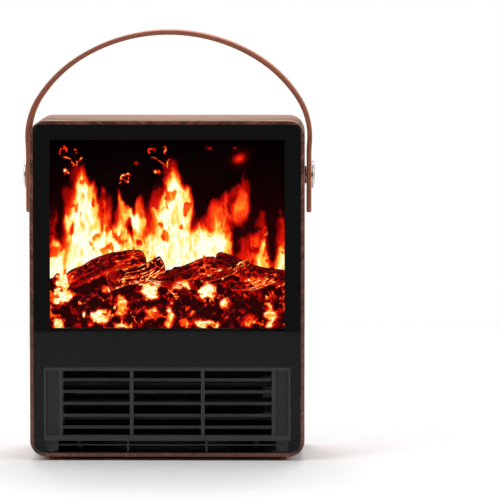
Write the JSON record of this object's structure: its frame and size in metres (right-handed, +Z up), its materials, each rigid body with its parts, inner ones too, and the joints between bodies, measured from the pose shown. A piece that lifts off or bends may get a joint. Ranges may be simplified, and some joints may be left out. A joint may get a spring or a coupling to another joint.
{
  "type": "ceramic space heater",
  "caption": "Portable ceramic space heater with a wood-look sleeve, a flame display behind a dark pane, a louvred warm-air outlet and a leather carry strap.",
  "frame": {"origin": "on the surface the heater stands on, under the middle of its width and of its overall depth", "axes": "+X to the right seen from the front, +Y towards the back, +Z up; the front faces -Y"},
  "size_m": [0.263, 0.1338, 0.3828],
  "materials": {
    "wood_wrap": "satin",
    "glue_block": "raw",
    "foot_rubber": "matt",
    "zinc_screw": "satin",
    "black_screw": "satin",
    "clear_pane": "gloss",
    "black_print": "matt",
    "black_moulding": "fine texture",
    "grille_moulding": "fine texture",
    "leather": "smooth",
    "satin_nickel": "satin",
    "clear_nylon": "satin",
    "white_sheet": "satin",
    "flame_film": "translucent",
    "ember_moulding": "matt",
    "board_green": "satin",
    "lamp_amber": "gloss",
    "bright_foil": "bright",
    "bronze_bush": "oiled",
    "motor_case": "satin",
    "galvanised_sheet": "spangled",
    "aluminium_plain": "mill",
    "heatproof_moulding": "matt",
    "switch_moulding": "gloss",
    "steel_plain": "mill",
    "copper_winding": "enamelled",
    "component_black": "satin"
  },
  "bodies": {
    "root": {"wood_shell": "wood_wrap", "rubber_feet": "foot_rubber", "foot_screws": "zinc_screw", "front_blocks": "glue_block", "rear_blocks": "glue_block", "front_pane": "clear_pane", "pane_print": "black_print", "front_carrier": "black_moulding", "carrier_screws": "zinc_screw", "outlet_grille": "grille_moulding", "rear_cover": "black_moulding", "cover_screws": "black_screw", "cord_gland": "black_moulding", "gland_nut": "black_moulding", "switch_bodies": "switch_moulding", "switch_terminals": "steel_plain", "strap_studs": "satin_nickel", "strap_washers": "clear_nylon", "stud_plates": "steel_plain", "stud_nuts": "zinc_screw", "light_box": "white_sheet", "light_box_screws": "zinc_screw", "flame_screen": "flame_film", "ember_bed": "ember_moulding", "log_set": "ember_moulding", "ember_lamp_board": "board_green", "flame_lamp_board": "board_green", "display_lamps": "lamp_amber", "flicker_motor": "motor_case", "shaft_bushes": "bronze_bush", "air_duct": "galvanised_sheet", "base_screws": "zinc_screw", "ceramic_tubes": "aluminium_plain", "fin_rows": "aluminium_plain", "element_end_caps": "heatproof_moulding", "heater_terminals": "steel_plain", "thermal_cutout": "component_black", "thermal_fuse": "heatproof_moulding", "blower_housing": "galvanised_sheet", "motor_stator": "steel_plain", "motor_coil": "copper_winding", "motor_bracket": "galvanised_sheet", "motor_bolts": "zinc_screw", "motor_spacers": "steel_plain", "control_board": "board_green", "board_standoffs": "clear_nylon", "board_screws": "zinc_screw", "board_parts": "component_black", "tip_over_switch": "component_black", "terminal_block": "heatproof_moulding"},
    "strap_sleeves": {"strap_sleeves": "clear_nylon"},
    "strap": {"carry_strap": "leather"},
    "rocker_flame": {"rocker_flame": "switch_moulding"},
    "rocker_low": {"rocker_low": "switch_moulding"},
    "rocker_high": {"rocker_high": "switch_moulding"},
    "blower": {"blower_wheel": "aluminium_plain", "blower_shaft": "steel_plain", "motor_rotor": "steel_plain"},
    "flicker": {"flicker_rotor": "bright_foil"}
  },
  "joints": [
    {"name": "strap_swing", "type": "hinge", "parent": "root", "child": "strap_sleeves", "pos_m": [0, 0, 0.252], "axis": [1, 0, 0], "range_deg": [-15, 15]},
    {"name": "strap_slide", "type": "slide", "parent": "strap_sleeves", "child": "strap", "axis": [0, 0, 1], "range_m": [-0.006, 0]},
    {"name": "flame_rock", "type": "hinge", "parent": "root", "child": "rocker_flame", "pos_m": [0.034, 0.0629, 0.2647], "axis": [0, 0, 1], "range_deg": [0, 24]},
    {"name": "low_rock", "type": "hinge", "parent": "root", "child": "rocker_low", "pos_m": [0.056, 0.0629, 0.2647], "axis": [0, 0, 1], "range_deg": [0, 24]},
    {"name": "high_rock", "type": "hinge", "parent": "root", "child": "rocker_high", "pos_m": [0.078, 0.0629, 0.2647], "axis": [0, 0, 1], "range_deg": [0, 24]},
    {"name": "blower_spin", "type": "hinge", "parent": "root", "child": "blower", "pos_m": [0, 0.0141, 0.0515], "axis": [1, 0, 0], "continuous": true},
    {"name": "flicker_spin", "type": "hinge", "parent": "root", "child": "flicker", "pos_m": [0, -0.0079, 0.12], "axis": [1, 0, 0], "continuous": true}
  ]
}
